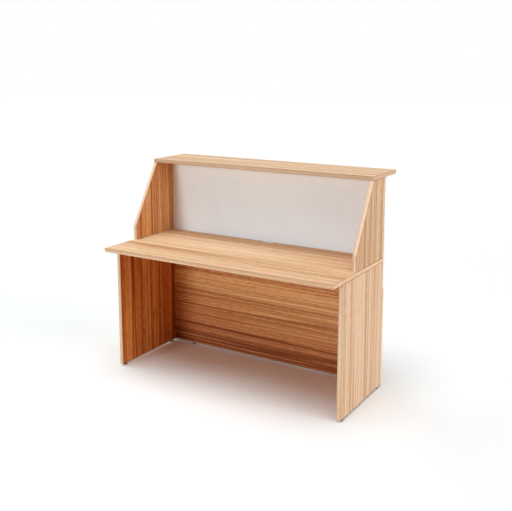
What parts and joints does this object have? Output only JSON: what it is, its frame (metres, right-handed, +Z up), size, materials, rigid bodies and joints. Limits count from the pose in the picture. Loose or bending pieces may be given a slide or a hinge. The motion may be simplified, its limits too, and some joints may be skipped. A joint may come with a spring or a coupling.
{
  "type": "reception desk",
  "caption": "Straight reception desk in striped wood decor: worktop on end panels, raised visitors' counter on slanted hutch sides, white upper front, screw-adjustable levelling feet.",
  "frame": {"origin": "on the floor, under the middle of the desk's outline seen from above", "axes": "+X to the right of the seated staff, +Y from the staff side to the visitors' side, +Z up"},
  "size_m": [1.4, 0.75, 1.17],
  "materials": {
    "wood_decor": "satin melamine decor with fine straight grain",
    "white_board": "smooth satin white melamine",
    "zinc_alloy": "bare die-cast zinc",
    "plated_steel": "zinc-plated steel",
    "beech": "raw beech",
    "grey_nylon": "dark grey moulded nylon",
    "black_plastic": "black moulded plastic"
  },
  "bodies": {
    "desk": {"worktop": "wood_decor", "counter_shelf": "wood_decor", "lower_front_panel": "wood_decor", "end_panel_left": "wood_decor", "end_panel_right": "wood_decor", "hutch_side_left": "wood_decor", "hutch_side_right": "wood_decor", "upper_front_panel": "white_board", "hutch_cam_left_front": "zinc_alloy", "hutch_cam_left_back": "zinc_alloy", "hutch_cam_right_front": "zinc_alloy", "hutch_cam_right_back": "zinc_alloy", "end_panel_cam_left_front": "zinc_alloy", "end_panel_cam_left_back": "zinc_alloy", "end_panel_cam_right_front": "zinc_alloy", "end_panel_cam_right_back": "zinc_alloy", "lower_panel_cam_left_low": "zinc_alloy", "lower_panel_cam_left_high": "zinc_alloy", "lower_panel_cam_right_low": "zinc_alloy", "lower_panel_cam_right_high": "zinc_alloy", "counter_cam_left": "zinc_alloy", "counter_cam_right": "zinc_alloy", "upper_panel_cam_left": "zinc_alloy", "upper_panel_cam_right": "zinc_alloy", "worktop_cam_left": "zinc_alloy", "worktop_cam_right": "zinc_alloy", "tie_bolt_left_front": "plated_steel", "tie_bolt_left_back": "plated_steel", "tie_bolt_right_front": "plated_steel", "tie_bolt_right_back": "plated_steel", "lower_panel_bolt_left_low": "plated_steel", "lower_panel_bolt_left_high": "plated_steel", "lower_panel_bolt_right_low": "plated_steel", "lower_panel_bolt_right_high": "plated_steel", "counter_bolt_left": "plated_steel", "counter_bolt_right": "plated_steel", "upper_panel_bolt_left": "plated_steel", "upper_panel_bolt_right": "plated_steel", "worktop_bolt_left": "plated_steel", "worktop_bolt_right": "plated_steel", "counter_dowel_left": "beech", "counter_dowel_right": "beech", "foot_socket_left_front": "grey_nylon", "foot_socket_left_back": "grey_nylon", "foot_socket_left_panel": "grey_nylon", "foot_socket_right_front": "grey_nylon", "foot_socket_right_back": "grey_nylon", "foot_socket_right_panel": "grey_nylon"},
    "pad_left_front": {"foot_pad_left_front": "black_plastic"},
    "stud_left_front": {"foot_stud_left_front": "plated_steel"},
    "pad_left_back": {"foot_pad_left_back": "black_plastic"},
    "stud_left_back": {"foot_stud_left_back": "plated_steel"},
    "pad_left_panel": {"foot_pad_left_panel": "black_plastic"},
    "stud_left_panel": {"foot_stud_left_panel": "plated_steel"},
    "pad_right_front": {"foot_pad_right_front": "black_plastic"},
    "stud_right_front": {"foot_stud_right_front": "plated_steel"},
    "pad_right_back": {"foot_pad_right_back": "black_plastic"},
    "stud_right_back": {"foot_stud_right_back": "plated_steel"},
    "pad_right_panel": {"foot_pad_right_panel": "black_plastic"},
    "stud_right_panel": {"foot_stud_right_panel": "plated_steel"}
  },
  "joints": [
    {"name": "foot_drop_left_front", "type": "slide", "parent": "desk", "child": "pad_left_front", "axis": [0, 0, -1], "range_m": [0, 0.01]},
    {"name": "foot_turn_left_front", "type": "hinge", "parent": "pad_left_front", "child": "stud_left_front", "pos_m": [-0.689, -0.243, 0.02], "axis": [0, 0, -1], "range_deg": [0, 2880]},
    {"name": "foot_drop_left_back", "type": "slide", "parent": "desk", "child": "pad_left_back", "axis": [0, 0, -1], "range_m": [0, 0.01]},
    {"name": "foot_turn_left_back", "type": "hinge", "parent": "pad_left_back", "child": "stud_left_back", "pos_m": [-0.689, 0.193, 0.02], "axis": [0, 0, -1], "range_deg": [0, 2880]},
    {"name": "foot_drop_left_panel", "type": "slide", "parent": "desk", "child": "pad_left_panel", "axis": [0, 0, -1], "range_m": [0, 0.01]},
    {"name": "foot_turn_left_panel", "type": "hinge", "parent": "pad_left_panel", "child": "stud_left_panel", "pos_m": [-0.54, 0.2363, 0.02], "axis": [0, 0, -1], "range_deg": [0, 2880]},
    {"name": "foot_drop_right_front", "type": "slide", "parent": "desk", "child": "pad_right_front", "axis": [0, 0, -1], "range_m": [0, 0.01]},
    {"name": "foot_turn_right_front", "type": "hinge", "parent": "pad_right_front", "child": "stud_right_front", "pos_m": [0.689, -0.243, 0.02], "axis": [0, 0, -1], "range_deg": [0, 2880]},
    {"name": "foot_drop_right_back", "type": "slide", "parent": "desk", "child": "pad_right_back", "axis": [0, 0, -1], "range_m": [0, 0.01]},
    {"name": "foot_turn_right_back", "type": "hinge", "parent": "pad_right_back", "child": "stud_right_back", "pos_m": [0.689, 0.193, 0.02], "axis": [0, 0, -1], "range_deg": [0, 2880]},
    {"name": "foot_drop_right_panel", "type": "slide", "parent": "desk", "child": "pad_right_panel", "axis": [0, 0, -1], "range_m": [0, 0.01]},
    {"name": "foot_turn_right_panel", "type": "hinge", "parent": "pad_right_panel", "child": "stud_right_panel", "pos_m": [0.54, 0.2363, 0.02], "axis": [0, 0, -1], "range_deg": [0, 2880]}
  ],
  "couplings": [
    {"joint": "foot_drop_left_front", "follows": "foot_turn_left_front", "m_per_rad": 0.00019894},
    {"joint": "foot_drop_left_back", "follows": "foot_turn_left_back", "m_per_rad": 0.00019894},
    {"joint": "foot_drop_left_panel", "follows": "foot_turn_left_panel", "m_per_rad": 0.00019894},
    {"joint": "foot_drop_right_front", "follows": "foot_turn_right_front", "m_per_rad": 0.00019894},
    {"joint": "foot_drop_right_back", "follows": "foot_turn_right_back", "m_per_rad": 0.00019894},
    {"joint": "foot_drop_right_panel", "follows": "foot_turn_right_panel", "m_per_rad": 0.00019894}
  ]
}
